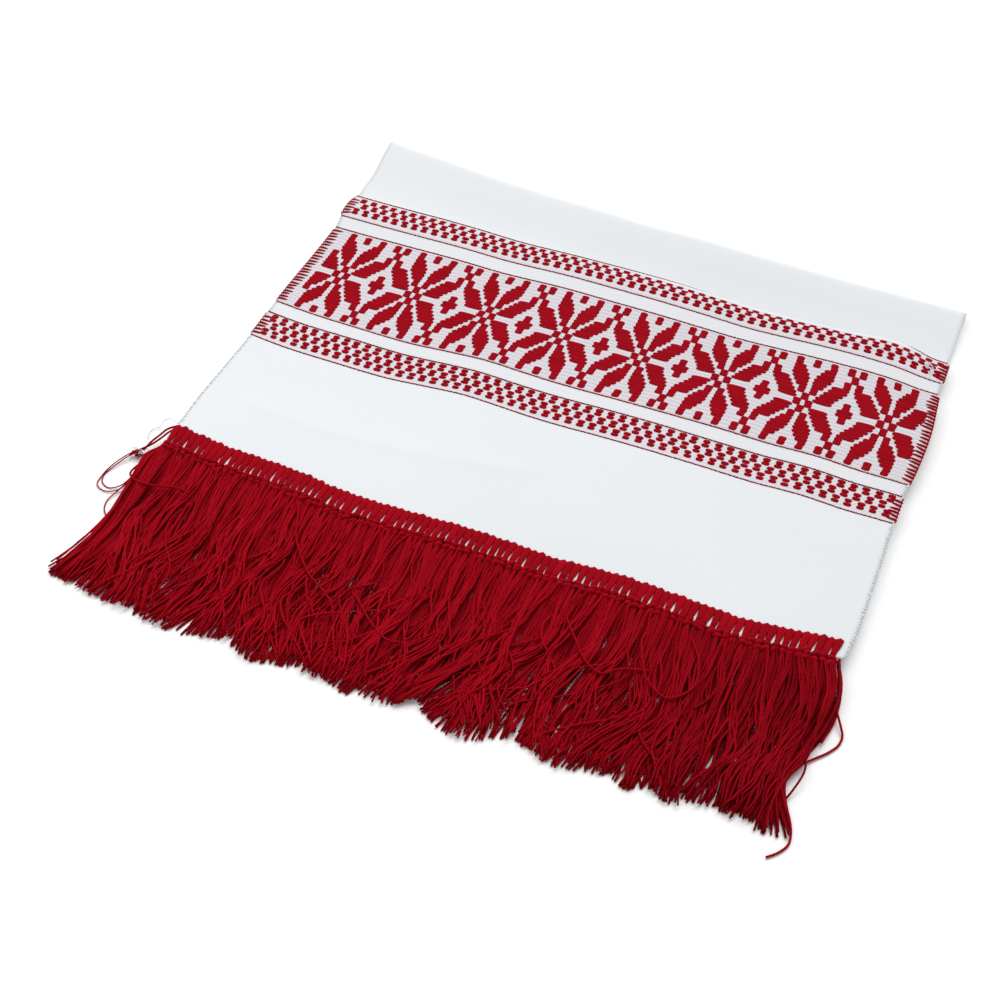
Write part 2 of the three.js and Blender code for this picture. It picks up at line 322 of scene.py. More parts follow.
# %% White cotton
THREAD_PITCH = 0.9
STITCH_PITCH = 1.583
FURROW_SHARPNESS = 9.0
STITCH_LEVEL = 0.55
DOT_STRENGTH = 0.35
SLUB_STRENGTH = 0.10
RIB_HEIGHT = 4.0
white_cotton, tree, shader = new_finish("white cotton", 0.9, 0.1, 0.15)
uv = node(tree, "UVMap", uv_map="weave")
place = node(tree, "SeparateXYZ", [(0, uv.outputs[0])])
across = place.outputs[0]
length = place.outputs[1]
ZONE_SCALE = 4.0
zones = node(tree, "ValToRGB", [(0, math_node(tree, "MULTIPLY", length, ZONE_SCALE))])
zones.color_ramp.interpolation = "LINEAR"
PLAIN, BETWEEN, BORDER, STAR = 0.0, 0.22, 0.75, 1.0
edges = [(0.0, PLAIN), (LOW_BOTTOM, PLAIN), (LOW_BOTTOM + 1, BORDER), (LOW_TOP - 1, BORDER),
         (LOW_TOP, BETWEEN), (STAR_BOTTOM, BETWEEN), (STAR_BOTTOM + 1, STAR), (STAR_TOP - 1, STAR),
         (STAR_TOP, BETWEEN), (UP_BOTTOM, BETWEEN), (UP_BOTTOM + 1, BORDER), (UP_TOP - 1, BORDER),
         (UP_TOP, PLAIN)]
while len(zones.color_ramp.elements) < len(edges):
    zones.color_ramp.elements.new(1.0)
for step, (at, value) in zip(zones.color_ramp.elements, edges):
    step.position = at * MM * ZONE_SCALE
    step.color = (value, value, value, 1.0)
patterned = zones.outputs[0]
cloud = node(tree, "TexNoise", [("Vector", uv.outputs[0]), ("Scale", 14.0), ("Detail", 3.0)])
thread = node(tree, "Mapping", [("Vector", uv.outputs[0]), ("Scale", (260.0, 1400.0, 1.0))])
slub = node(tree, "TexNoise", [("Vector", thread.outputs[0]), ("Scale", 1.0), ("Detail", 2.0)])
rib = wave_node(tree, math_node(tree, "SUBTRACT", length, STAR_MIDDLE * MM), FLOAT_PITCH * MM)
rib_high = math_node(tree, "MULTIPLY_ADD", rib, 0.5, clamp=True)
rib_high.node.inputs[2].default_value = 0.5
furrow = math_node(tree, "POWER", math_node(tree, "SUBTRACT", 1.0, rib_high), FURROW_SHARPNESS)
stitch = wave_node(tree, across, STITCH_PITCH * MM)
dots = math_node(tree, "MULTIPLY", furrow, math_node(tree, "GREATER_THAN", stitch, STITCH_LEVEL))
plain = mixed(tree, cloud.outputs[0], (0.735, 0.765, 0.785, 1.0), (0.775, 0.80, 0.82, 1.0))
# In the furrows the ground is painted darker and pinker: partly red weft showing through, partly painted
# shade.
ground = mixed(tree, furrow, (0.67, 0.63, 0.675, 1.0), (0.60, 0.53, 0.58, 1.0))
ground = mixed(tree, math_node(tree, "MULTIPLY", dots, DOT_STRENGTH), ground, (0.16, 0.04, 0.07, 1.0))
woven = mixed(tree, patterned, plain, ground)
greyed = math_node(tree, "MULTIPLY", slub.outputs[0], SLUB_STRENGTH)
tree.links.new(mixed(tree, greyed, woven, (0.62, 0.66, 0.70, 1.0)), shader.inputs["Base Color"])
over = wave_node(tree, across, THREAD_PITCH * MM)
under = wave_node(tree, length, THREAD_PITCH * MM)
grain = math_node(tree, "MULTIPLY", over, under)
rib_share = math_node(tree, "POWER", patterned, 3.0)
ribbed = math_node(tree, "MULTIPLY", rib_high, math_node(tree, "MULTIPLY", rib_share, RIB_HEIGHT))
relief = math_node(tree, "ADD", math_node(tree, "ADD", grain, slub.outputs[0]), ribbed)
bump = node(tree, "Bump", [("Height", relief), ("Strength", 0.35), ("Distance", 0.00012)])
tree.links.new(bump.outputs[0], shader.inputs["Normal"])
print("white cotton ready")

# %% [markdown]
# The red yarn is cotton too, dyed deep red and spun in two plies. Its fibres lie slanted along the yarn, so
# the light breaks into fine diagonal stripes, which are painted into the colour as painted light and shade
# as well as given to the bump. Every strand took the dye a little differently: each piece carries a tone from
# 0 to 1, and the finish makes the yarn darker or brighter by it. In the fringe the tone also holds painted
# shade: the lower sets of strands and the right end are given darker tones. One function makes the three red
# finishes, because the brocade floats, the thin lines and the fringe yarn differ only in the number of plies,
# in scale and a little in colour.

# %% Red yarns
FIBRE_SHARE = 0.5
TONE_SHARE = 0.75
PAINTED_STRIPE_SHARE = 0.12


def red_finish(name, plies, pitch, relief_depth, dark, bright):
    """Diagonal ply stripes from the yarn's map, as bump and as painted light and shade in the colour, fine
    fibre noise, and a colour between dark and bright.
    """
    made, tree, shader = new_finish(name, 0.8, 0.0, 0.04)
    uv = node(tree, "UVMap", uv_map="weave")
    place = node(tree, "SeparateXYZ", [(0, uv.outputs[0])])
    slant = math_node(tree, "MULTIPLY_ADD", place.outputs[0], float(plies) * pitch)
    tree.links.new(place.outputs[1], slant.node.inputs[2])
    stripe = wave_node(tree, slant, pitch)
    fibre_map = node(tree, "Mapping", [("Vector", uv.outputs[0]), ("Scale", (16.0, 900.0, 1.0))])
    fibre = node(tree, "TexNoise", [("Vector", fibre_map.outputs[0]), ("Scale", 1.0), ("Detail", 2.0)])
    tone = node(tree, "Attribute", attribute_name="tone")
    blend = math_node(tree, "MULTIPLY_ADD", fibre.outputs[0], FIBRE_SHARE)
    tree.links.new(math_node(tree, "MULTIPLY", tone.outputs["Fac"], TONE_SHARE), blend.node.inputs[2])
    # The ply stripes brighten and darken the colour: painted light and shade on the plies.
    lively = math_node(tree, "MULTIPLY_ADD", stripe, PAINTED_STRIPE_SHARE, clamp=True)
    tree.links.new(blend, lively.node.inputs[2])
    tree.links.new(mixed(tree, lively, dark, bright), shader.inputs["Base Color"])
    height = math_node(tree, "ADD", stripe, fibre.outputs[0])
    bump = node(tree, "Bump", [("Height", height), ("Strength", 0.5), ("Distance", relief_depth)])
    tree.links.new(bump.outputs[0], shader.inputs["Normal"])
    return made


brocade_red = red_finish("red brocade yarn", plies=0, pitch=0.0009, relief_depth=0.00008,
                         dark=(0.23, 0.001, 0.005, 1), bright=(0.345, 0.002, 0.010, 1))
line_red = red_finish("red line yarn", plies=1, pitch=0.0014, relief_depth=0.00006,
                      dark=(0.13, 0.0015, 0.007, 1), bright=(0.29, 0.003, 0.012, 1))
fringe_red = red_finish("red fringe yarn", plies=2, pitch=0.0026, relief_depth=0.00012,
                        dark=(0.17, 0.0005, 0.004, 1), bright=(0.38, 0.002, 0.010, 1))
print("red yarns ready")

# %% [markdown]
# The cloth itself is one length of about 90 cm, folded back and forth three times. A real towel is folded on
# a table and pressed by hand, so the layers lie close, the folds stay round and the pile is a little
# thicker where a fold turns. A cloth simulation would have to be stopped at just this state; a table of
# sections says it directly. Each section is a line across the cloth. Its row says how far from the hem it
# lies, how high, how much it is skewed and tilted, how far its left and right ends creep, and how wavy it is.

# %% The four layers and the three folds
CUT_EDGE = -11.4
TOP_LAYER = [
    (CUT_EDGE, 6.0, 0, 0, 0, 0, 0.4), (6, 6.2, 0, 0, 0, 1, 0.6), (22, 6.5, 0, 0, -0.4, 1, 1),
    (50, 6.6, 0, 0, 0.2, 0.2, 1), (78, 6.7, 0, 0, 0.7, -0.7, 1), (98, 6.8, 0, -0.1, 0.3, -1, 1),
    (120, 7.2, 0, -0.2, 0.3, 0.3, 1), (145, 7.6, -0.4, -0.4, 0.9, 0.5, 1),
    (166, 8.3, -0.8, -0.6, 1.5, -1.2, 1), (180, 9.0, -1.2, -0.8, 1.4, -2.4, 0.9),
    (190, 9.7, -1.5, -1, -0.6, -2.7, 0.8), (198, 10, -1.7, -1, -0.9, -2.9, 0.8),
    (205, 8.0, -2, -1, -1.3, -3.2, 0.7),
]
SECOND_LAYER = [
    (205, 4.3, -2, -0.2, -0.2, -4, 0.4), (170, 4.3, -1, 0, 1, -3, 0.5), (110, 4.3, 0, 0, 1, -2, 0.5),
    (55, 4.3, 0, 0, 0.8, -2, 0.5), (14, 4.3, 1, 0, 1.2, -3, 0.3),
]
THIRD_LAYER = [
    (14, 2.4, 1, 0, 1.4, -3, 0.2), (80, 2.4, 0, 0, 1, -3, 0.3), (150, 2.4, -1, 0, 0.6, -3, 0.3),
    (200, 2.5, -3, -0.1, -2.2, -4, 0.3), (216, 3, -4, -0.4, -4.4, -3.6, 0.5),
    (228, 4.4, -5, -0.8, -3.8, -3.5, 0.7), (240, 6.2, -6.2, -1.4, -5, -3.8, 0.8),
    (250, 7.4, -7.4, -1.9, -5.8, -4, 0.8),
]
LAST_LAYER = [
    (250, 0.35, -7.4, 0, -5, -4, 0), (225, 0.35, -5, 0, -2, -4, 0), (120, 0.35, 0, 0, 1.4, -3, 0),
    (20, 0.35, 1, 0, 1.6, -3, 0),
]
FOLD_REACHES = (4.4, -1.8, 5.4)
SECTION_STEPS = (1.7, 6.0, 3.0, 7.0)


def layer_sections(table, step):
    """Even sections between a layer's first and last, each value a smooth curve of the distance."""
    table = np.array(table, float)
    rows = int(np.ceil(abs(table[-1, 0] - table[0, 0]) / step))
    at = np.linspace(table[0, 0], table[-1, 0], rows + 1)
    table = table[np.argsort(table[:, 0])]
    return np.column_stack([at, through(at, table[:, 0], table[:, 1:])])


def fold_sections(before, after, reach, steps=14):
    """Half an ellipse from one layer's end to the next one's start: heights go with the cosine of the turn,
    and the sine of the turn pushes the sections out by the fold's reach."""
    turn = np.linspace(0, math.pi, steps + 1)[1:-1]
    rows = before + (after - before) * ((1 - np.cos(turn)) / 2)[:, None]
    rows[:, 0] += reach * np.sin(turn)
    return rows


tables = (TOP_LAYER, SECOND_LAYER, THIRD_LAYER, LAST_LAYER)
layers = [layer_sections(table, step) for table, step in zip(tables, SECTION_STEPS)]
sections = [layers[0]]
for number, reach in enumerate(FOLD_REACHES):
    sections.append(fold_sections(layers[number][-1], layers[number + 1][0], reach))
    sections.append(layers[number + 1])
sections = np.concatenate(sections)
paces = np.hypot(np.diff(sections[:, 0]), np.diff(sections[:, 1]))
lengths = np.concatenate([[0.0], np.cumsum(paces)]) + CUT_EDGE
BACK_FOLD = float(lengths[np.argmax(sections[:, 0])])

# %% [markdown]
# On the top layer the lines of the band are not quite straight: the weaver's beat and the fold push them
# back and forth by a millimetre or two. Both waves are read from short tables and moved in the cloth itself,
# so the finish and the brocade follow. The hand that folded the towel also pushed the pile a little askew,
# which the table of pushes holds: one row for each length along the cloth, one column for each place across.
# A faint crease runs slanted over the plain field near the hem. It is a low ridge, wide behind its line and
# steeper in front. At the right the top fold stands up in a small peak and then sags to the selvedge.

# %% Waves, pushes and the crease
LOW_WAVE = np.array([
    (0, -1), (18, -2.5), (50, -2.8), (85, -2), (102, -0.2), (126, 1.5), (144, 0.6), (162, -0.3),
    (174, -0.4), (198, 0.3), (222, 0.8), (255, 0.9), (282, 0.2), (306, 1.0), (330, -0.1), (342, 0.2),
])
HIGH_WAVE = np.array([
    (18, 0.1), (78, 1.0), (105, 0.1), (144, 1.1), (174, 0.7), (198, 0.2), (222, -0.9), (246, -1.9),
    (270, -1.0), (294, 0.2), (318, -0.2), (342, -2.6),
])
CREASE = np.array([(-165, 33), (-156, 31.1), (-117, 28.0), (-68, 30.8), (-28, 35.9), (6, 42.6), (40, 50)])
BACK_BOW = np.array([
    (-176, 4.0), (-160, 2.6), (-142, 1.4), (-128, 0.2), (-110, -1.2), (-90, -1.9), (-60, -2.1),
    (-30, -1.8), (-12, -2.7), (2, -2.2), (18, -1.3), (50, -1.3), (90, -0.6), (116, 0.4), (140, 1.6),
    (160, 2.6), (176, 3.3),
])
PUSH_ACROSS = (-176.5, -160, -120, -80, -40, 0, 40, 80, 120, 160, 176.5)
PUSH = np.array([
    (50, 0, 0, 0, 0, 0, 0, 0, 0, 0, 0, 0),
    (79, -0.6, -0.7, -0.9, -1.3, -0.8, -0.7, -0.4, -0.6, -0.4, -0.5, -0.4),
    (98, 0.6, 0.6, 0.5, -0.8, -0.8, 0.1, 0.5, -0.1, 0.2, -0.2, -0.2),
    (106.6, 1.4, 1.4, 0.8, 0, 0.2, 0.9, 1, 1, 0.8, 0.2, 0),
    (124, -0.3, -0.5, -0.9, -0.1, 0.4, 2.0, 1.9, 2.9, 1.2, 0.4, 0.2),
    (160, -2.4, -2.7, -3.4, -3.2, -1.5, -1.0, -0.3, 1.6, 0.5, 2.6, 2.6),
    (188, -2.4, -2.5, -3.0, -2.3, -0.8, 0.4, 1.2, 1.3, 1.9, 3.1, 3.2),
    (198, -2.1, -2.3, -2.8, -2.1, -0.2, 1, 1.5, 1.4, 2, 3.6, 3.6),
    (208, -1.2, -1.4, -1.8, -1.9, -1.1, -0.4, -0.3, -0.7, -0.2, 2.3, 2.8),
    (220, 0, 0, 0, 0, 0, 0, 0, 0, 0, 0, 0),
])
COLUMNS = 116
LOW_STRETCH = (45, 76, 108, 141)
HIGH_STRETCH = (143, 176, 222, 258)
BACK_STRETCH = (BACK_FOLD - 60, BACK_FOLD - 6, BACK_FOLD + 12, BACK_FOLD + 60)
HEM_BOW_FADES = (2, 48)
TOP_LAYER_ENDS = (209, 216)
RIPPLES = ((0.28, 31, 47, 0.7), (0.22, 52, -33, 2.1))
RIDGE_STRETCH = (-172, -140, -10, 30)
RIDGE_HIGH = 0.6
RIDGE_BEHIND = 13.0
RIDGE_BEFORE = 8.0
PEAK_HIGH = 1.7
PEAK_AT = 141
PEAK_WIDE = 14
PEAK_ALONG = (193, 203)
SAG_DEPTH = 2.1
SAG_ACROSS = (148, 176)
SAG_ALONG = (160, 200)
print("the pushes go up to", round(float(np.abs(PUSH[:, 1:]).max()), 1), "mm")

# %% [markdown]
# All these moves are added up on one grid, the middle of the sheet. It has a row for every section and 117
# columns. Whatever is woven into the cloth asks this grid where its place has gone and which way is up there.

# %% The cloth's middle surface
def middle_surface():
    """The sheet's middle as a grid: rows are sections along the cloth, columns run across it. Two slow sines
    at a slant to one another make the ripple, the ridge falls off exponentially from the crease's line, and
    the peak is a bell curve across the cloth."""
    place = np.linspace(-1, 1, COLUMNS + 1)[None, :]
    y, z, skew, lift, left, right, wavy = [column[:, None] for column in sections.T]
    s = lengths[:, None]
    x = -HALF_WIDTH + left + (2 * HALF_WIDTH + right - left) * (place + 1) / 2
    flat_x = HALF_WIDTH * place
    from_left = flat_x + HALF_WIDTH
    waves = read(LOW_WAVE, from_left) * within(s, *LOW_STRETCH)
    waves = waves + read(HIGH_WAVE, from_left) * within(s, *HIGH_STRETCH)
    bow = hem_line(flat_x) * (1 - ease(s, *HEM_BOW_FADES))
    bow = bow + read(BACK_BOW, flat_x) * within(s, *BACK_STRETCH)
    pushed = through(s[:, 0], PUSH[:, 0], PUSH[:, 1:])
    pushed = through(flat_x[0], np.array(PUSH_ACROSS), pushed.T).T
    narrowed = edge_gain(flat_x) * np.clip(s / CUT_EDGE, 0, 1)
    y = y + skew * place + waves + bow + pushed + narrowed
    ripple = sum(high * np.sin(x / across + y / along + phase) for high, across, along, phase in RIPPLES)
    on_top = 1 - ease(s, *TOP_LAYER_ENDS)
    sag = SAG_DEPTH * ease(x, *SAG_ACROSS) * ease(y, *SAG_ALONG) * on_top
    from_crease = y - read(CREASE, x)
    soft = np.where(from_crease > 0, RIDGE_BEHIND, RIDGE_BEFORE)
    ridge = RIDGE_HIGH * np.exp(-np.abs(from_crease) / soft) * within(x, *RIDGE_STRETCH) * on_top
    peak = PEAK_HIGH * np.exp(-((x - PEAK_AT) / PEAK_WIDE) ** 2) * ease(s, *PEAK_ALONG) * on_top
    z = z + lift * place + wavy * ripple - sag + ridge + peak
    return np.stack([x, y, np.broadcast_to(z, x.shape)], axis=-1)


def normals_of(surface):
    """Square to the surface at each grid point: the cross product of the steps across and along."""
    up = np.cross(np.gradient(surface, axis=1), np.gradient(surface, axis=0))
    return up / np.linalg.norm(up, axis=-1, keepdims=True)


middle = middle_surface()
outward = normals_of(middle)


def on_cloth(x, s, height):
    """A point on the top of the cloth, at flat place x across and s along, raised by height. Between the
    grid's points both the place and the normal are shared out in proportion."""
    column = np.clip((np.asarray(x, float) / HALF_WIDTH + 1) / 2 * COLUMNS, 0, COLUMNS - 1e-6)
    row = np.clip(np.interp(s, lengths, np.arange(len(lengths))), 0, len(lengths) - 1 - 1e-6)
    c = column.astype(int)
    r = row.astype(int)
    u = (column - c)[..., None]
    v = (row - r)[..., None]

    def share(grid):
        low = grid[r, c] * (1 - u) + grid[r, c + 1] * u
        high = grid[r + 1, c] * (1 - u) + grid[r + 1, c + 1] * u
        return low * (1 - v) + high * v

    return share(middle) + share(outward) * (np.asarray(height) + CLOTH_THICK / 2)[..., None]


print("top of the fold at", round(float(middle[..., 2].max()), 1), "mm")

# %% [markdown]
# The sheet gets its thickness here: the same grid once above and once below the middle, sewn together round
# all four edges.

# %% The folded cloth
def sheet_surfaces(grid, square, thick):
    """A closed sheet: the grid moved out by half the thickness, the grid moved in, and strips on the rim."""
    rows, columns = grid.shape[:2]
    upper = grid + square * thick / 2
    lower = grid - square * thick / 2
    points = np.concatenate([upper.reshape(-1, 3), lower.reshape(-1, 3)])
    index = np.arange(rows * columns).reshape(rows, columns)
    a, b, c, d = index[:-1, :-1], index[:-1, 1:], index[1:, 1:], index[1:, :-1]
    face = np.stack([a, b, c, d], axis=-1).reshape(-1, 4)
    other = face[:, ::-1] + rows * columns
    rim = np.concatenate([index[0, :], index[1:, -1], index[-1, -2::-1], index[-2:0:-1, 0]])
    after = np.roll(rim, -1)
    edge = np.stack([rim, rim + rows * columns, after + rows * columns, after], axis=-1)
    quads = np.concatenate([face, other, edge])
    flat = np.stack(np.broadcast_arrays(np.linspace(-HALF_WIDTH, HALF_WIDTH, columns)[None, :],
                                        lengths[:, None]), axis=-1).reshape(-1, 2) * MM
    uv = np.concatenate([flat, flat])[quads.ravel()]
    return points, quads, np.zeros((0, 3), int), uv, np.zeros((0, 2))


folded = sheet_surfaces(middle, outward, CLOTH_THICK)
cloth = piece("woven_cloth", folded, white_cotton, "cloth")

# %% [markdown]
# The stars are brocade: an extra red weft floats over the white ground wherever the chart says so. The chart
# is a weaver's own, half of one star on squared paper: for each row from the middle out, the columns that
# are red. Mirrored both ways it gives one star, and eight stars stand side by side, sharing their outer
# columns. Each row of the chart is woven with two shots of red, so each run of red squares becomes two long
# puffy floats. A float is a ring carried along the weft, full in the middle and round at both ends.

# %% The star chart and its floats
STAR_HALF = {0: (1, 6, 7), 1: (0, 2, 3, 4, 7), 2: (1, 3, 4, 5), 3: (1, 2, 4, 5, 6), 4: (1, 2, 3, 6),
             5: (2, 3, 7), 6: (0, 3, 6)}
STAR_ROWS = 6
STAR_COLUMNS = 14
STAR_WIDE = 44.33
SQUARE = STAR_WIDE / STAR_COLUMNS
FIRST_STAR = -156.4
STARS = 8
BARE_EDGE = 5.5
LEAN = 0.25


def runs_of_red():
    """Every unbroken run of red squares, as row, first column and last column. Squares nearer to a selvedge
    than BARE_EDGE stay white."""
    found = []
    for row in range(-STAR_ROWS, STAR_ROWS + 1):
        start = None
        for column in range(-STAR_COLUMNS, STAR_COLUMNS * STARS + STAR_COLUMNS):
            step = (column + STAR_COLUMNS // 2) % STAR_COLUMNS - STAR_COLUMNS // 2
            x = FIRST_STAR + column * SQUARE
            red = (abs(step) in STAR_HALF[abs(row)]) and abs(x) < HALF_WIDTH - BARE_EDGE
            if red and start is None:
                start = column
            if not red and start is not None:
                found.append((row, start, column - 1))
                start = None
    return found


def shots_of_red(runs):
    """Two shots for each run, as middle, shot line and width in squares. Each shot's ends lean a quarter of
    the way towards the ends of the runs it touches in the next row, at most two squares outwards and one
    inwards, so the petals get smooth slants."""
    found = []
    for row, first, last in runs:
        for side in (-1, 1):
            near = [run for run in runs if run[0] == row + side and run[1] <= last and run[2] >= first]
            low = first
            high = last
            if near and last > first:
                low = first + LEAN * np.clip(min(run[1] for run in near) - first, -2, 1)
                high = last + LEAN * np.clip(max(run[2] for run in near) - last, -1, 2)
            found.append((FIRST_STAR + (low + high) / 2 * SQUARE, 2 * row + side / 2, high - low + 1))
    return np.array(found, float)


LAST_RING = 0.96
SOFT_END = 0.42
FLAT_UNDERSIDE = 0.35


def floats(x, s, wide, tall, high, rings=7, sides=8, slant=0.0, blunt=5.0):
    """Puffy floats on the cloth. Along the weft the fullness is 1 less the distance from the middle to the
    power blunt, all to the power SOFT_END; round the ring the lower half is nearly flat and lies just inside
    the cloth."""
    t = np.sin(np.linspace(-1, 1, rings) * math.pi / 2 * LAST_RING)
    full = (1 - np.abs(t) ** blunt) ** SOFT_END
    turn = np.arange(sides) * 2 * math.pi / sides
    lift = np.where(np.sin(turn) < 0, FLAT_UNDERSIDE * np.sin(turn), np.sin(turn))
    reach = (wide / 2)[:, None, None] * t[None, :, None]
    side = (tall / 2)[:, None, None] * full[None, :, None] * np.cos(turn)[None, None, :]
    up = high[:, None, None] * full[None, :, None] * lift[None, None, :]
    px = x[:, None, None] + reach + 0 * side
    ps = s[:, None, None] + side + slant * reach
    return closed_rings(on_cloth(px, ps, up), px[:, :, 0] * MM)


DRIFT_FROM_MIDDLE = 18
DRIFT_ACROSS = np.arange(-160, 161, 40)
DRIFT_LOW = np.array([1.9, 1.7, 0.8, 0.1, 0.2, 0.2, 0.2, 0.3, 0.1])
DRIFT_HIGH = np.array([2.5, 2.2, 2.2, 1.7, 1.4, 1.5, 1.7, 1.3, 0.8])


def star_drift(x, from_middle):
    """How far the weft pulls the stars sideways: one curve for DRIFT_FROM_MIDDLE below the band's middle and
    one for as far above it, shared out in proportion and a little beyond."""
    share = np.clip(0.5 + from_middle / (2 * DRIFT_FROM_MIDDLE), -0.4, 1.4)
    low = through(x, DRIFT_ACROSS, DRIFT_LOW)
    high = through(x, DRIFT_ACROSS, DRIFT_HIGH)
    return low * (1 - share) + high * share


STAR_FLOAT_SPREAD = 1.1
STAR_FLOAT_TALL = 3.4
runs = runs_of_red()
shots = shots_of_red(runs)
count = len(shots)
star_s = STAR_MIDDLE + shots[:, 1] * FLOAT_PITCH + chance.normal(0, 0.05, count)
star_x = shots[:, 0] + star_drift(shots[:, 0], shots[:, 1] * FLOAT_PITCH) + chance.normal(0, 0.1, count)
star_wide = shots[:, 2] * SQUARE + STAR_FLOAT_SPREAD + chance.normal(0, 0.1, count)
star_high = chance.normal(0.29, 0.02, count)
star_floats = floats(star_x, star_s, star_wide, np.full(count, STAR_FLOAT_TALL), star_high)
star_tone = chance.uniform(0.25, 0.75, count)
star_band = piece("star_band", star_floats, brocade_red, "cloth", star_tone)
print(len(runs), "runs of red,", count, "floats")

# %% [markdown]
# Above and below the stars runs a border of small checks: three rows of red squares, each set against the
# gaps of the next. They are made by the same floats, two to a check. The first row lies a little above the
# border's lower line, and the middle column of the cloth is 49 squares from the middle of the first star.

# %% The check borders
FIRST_ROW = 5.3
MIDDLE_COLUMN = 49
COLUMNS_TO_A_SIDE = 60
UPPER_GAP = 0.7
BARE_LEFT = 5.0
BARE_RIGHT = 3.5
CHECK_WIDE = 4.2
CHECK_TALL = 2.7
CHECK_HIGH = 0.46


def check_places(bottom, drift):
    """Centres of the floats of one border: rows one and three on odd squares, row two on even ones. drift
    shifts them along the weft by a table of places and shifts, and those that come too near to a selvedge
    are left out."""
    columns = np.arange(-COLUMNS_TO_A_SIDE, COLUMNS_TO_A_SIDE + 1)
    found = []
    for row, odd in enumerate((1, 0, 1)):
        chosen = columns[columns % 2 == odd]
        x = FIRST_STAR + (chosen + MIDDLE_COLUMN) * SQUARE
        x = x + read(drift, x)
        x = x[(x > -HALF_WIDTH + BARE_LEFT) & (x < HALF_WIDTH - BARE_RIGHT)]
        for shot in (-0.5, 0.5):
            s = np.full(len(x), bottom + FIRST_ROW + ROW_PITCH * row + shot * FLOAT_PITCH)
            found.append(np.stack([x, s], axis=-1))
    return np.concatenate(found)


LOW_DRIFT = np.array([(-160, -1.5), (-120, -1.7), (-80, -2.5), (-40, -3.0), (0, -2.6), (40, -3.0), (80, -2.1),
                      (120, -1.9), (160, -1.5)])
UP_DRIFT = np.array([(-160, -0.3), (-120, -0.5), (-80, -0.8), (-40, -1.6), (0, -1.7), (40, -1.4), (80, -1.1),
                     (120, -1.0), (160, -0.6)])
checks = np.concatenate([check_places(LOW_BOTTOM, LOW_DRIFT), check_places(UP_BOTTOM + UPPER_GAP, UP_DRIFT)])
count = len(checks)
check_x = checks[:, 0] + chance.normal(0, 0.15, count)
check_s = checks[:, 1] + chance.normal(0, 0.06, count)
check_floats = floats(check_x, check_s, chance.normal(CHECK_WIDE, 0.15, count), np.full(count, CHECK_TALL),
                      chance.normal(CHECK_HIGH, 0.04, count), rings=5, blunt=3.8)
check_tone = chance.uniform(0.2, 0.75, count)
check_borders = piece("check_borders", check_floats, brocade_red, "cloth", check_tone)

# %% [markdown]
# Six thin lines frame the band. Each is two red yarns twined round one another as they cross the warp, so it
# reads as a row of small slanted beads. The uppermost one goes over the fold on the right half of the cloth,
# where only the folded edge shows.

# %% The thin lines
BEAD_PITCH = 1.25
BEAD_WIDE = 1.45
BEAD_TALL = 1.05
BEAD_HIGH = 0.42
OVER_FOLD_SHIFT = 3.4
OVER_FOLD_STRETCH = (-40, 60, 150, 168)
line_places = (LOW_BOTTOM, LOW_TOP, STAR_BOTTOM, STAR_TOP, UP_BOTTOM, UP_TOP)
bead_x = np.arange(-HALF_WIDTH + 0.5, HALF_WIDTH - 0.4, BEAD_PITCH)
bead_s, bead_x = [grid.ravel() for grid in np.meshgrid(line_places, bead_x, indexing="ij")]
count = len(bead_x)
bead_x = bead_x + chance.normal(0, 0.06, count)
bead_s = bead_s + chance.normal(0, 0.04, count)
over_fold = (bead_s > UP_TOP - 1) * within(bead_x, *OVER_FOLD_STRETCH)
bead_s = bead_s + OVER_FOLD_SHIFT * over_fold
bead_sizes = [np.full(count, size) for size in (BEAD_WIDE, BEAD_TALL, BEAD_HIGH)]
beads = floats(bead_x, bead_s, *bead_sizes, rings=4, sides=6, slant=0.3, blunt=2.6)
bead_tone = chance.uniform(0.2, 0.8, count)
thin_lines = piece("thin_lines", beads, line_red, "cloth", bead_tone)

# %% [markdown]
# At both selvedges the red weft turns round the edge of the cloth and goes back. Every shot leaves a short
# bar there, wrapped over the edge. Along the plain white cloth the white weft turns in the same way and
# leaves a fine scalloped edge. Both are yarns along a path that comes from the upper face, goes round the
# edge and ends on the lower face.

# %% Turns of the weft at the selvedges
TURN_INWARD = np.array([1.0, 0.7, 0.35, 0.08, -0.02, 0.05, 0.3])
TURN_HEIGHT = np.array([-0.1, 0.16, 0.2, 0.1, -0.35, -0.8, -0.9])
TURN_THICK = np.array([0.6, 0.85, 1.0, 1.0, 0.9, 0.8, 0.7])
NEAR_EDGE = 0.2
PASSED_AT_EDGE = 0.8
YARN_SQUASH = 0.8


def edge_turns(s, side, inner, radius, sides, sweep, proud):
    """Yarns round the edge at lengths s. side is -1 for the left selvedge and 1 for the right one. The path
    starts inner millimetres from the edge at the upper face, passes the edge where its share of that way is
    under NEAR_EDGE, by PASSED_AT_EDGE times proud radii at the edge itself, and ends under the lower face."""
    x = side * (HALF_WIDTH - inner[:, None] * np.clip(TURN_INWARD, 0, 1)[None, :])
    ps = s[:, None] + sweep[:, None] * (TURN_INWARD - NEAR_EDGE)[None, :]
    paths = on_cloth(x, ps, np.broadcast_to(TURN_HEIGHT[None, :], x.shape))
    passed = np.clip(NEAR_EDGE - TURN_INWARD, 0, None) * (PASSED_AT_EDGE / NEAR_EDGE)
    paths[:, :, 0] += side * passed[None, :] * radius * proud
    return yarns(paths, radius * TURN_THICK[None, :], sides, YARN_SQUASH)


CORD_STEP = 1.3
CORD_OUT = 0.25
CORD_WAVE = 0.18
CORD_PACE = 2.4


def edge_cord(low, high, side, radius):
    """One yarn along the very edge, between two lengths: a sine of the length moves it out by CORD_OUT, more
    or less by CORD_WAVE."""
    s = np.arange(low, high, CORD_STEP)
    x = np.full(s.shape, side * HALF_WIDTH)
    path = on_cloth(x, s, np.full(s.shape, -0.25 * CLOTH_THICK - 0.15))[None]
    path[:, :, 0] += side * (CORD_OUT + CORD_WAVE * np.sin(s * CORD_PACE + side))
    return yarns(path, radius, sides=7)


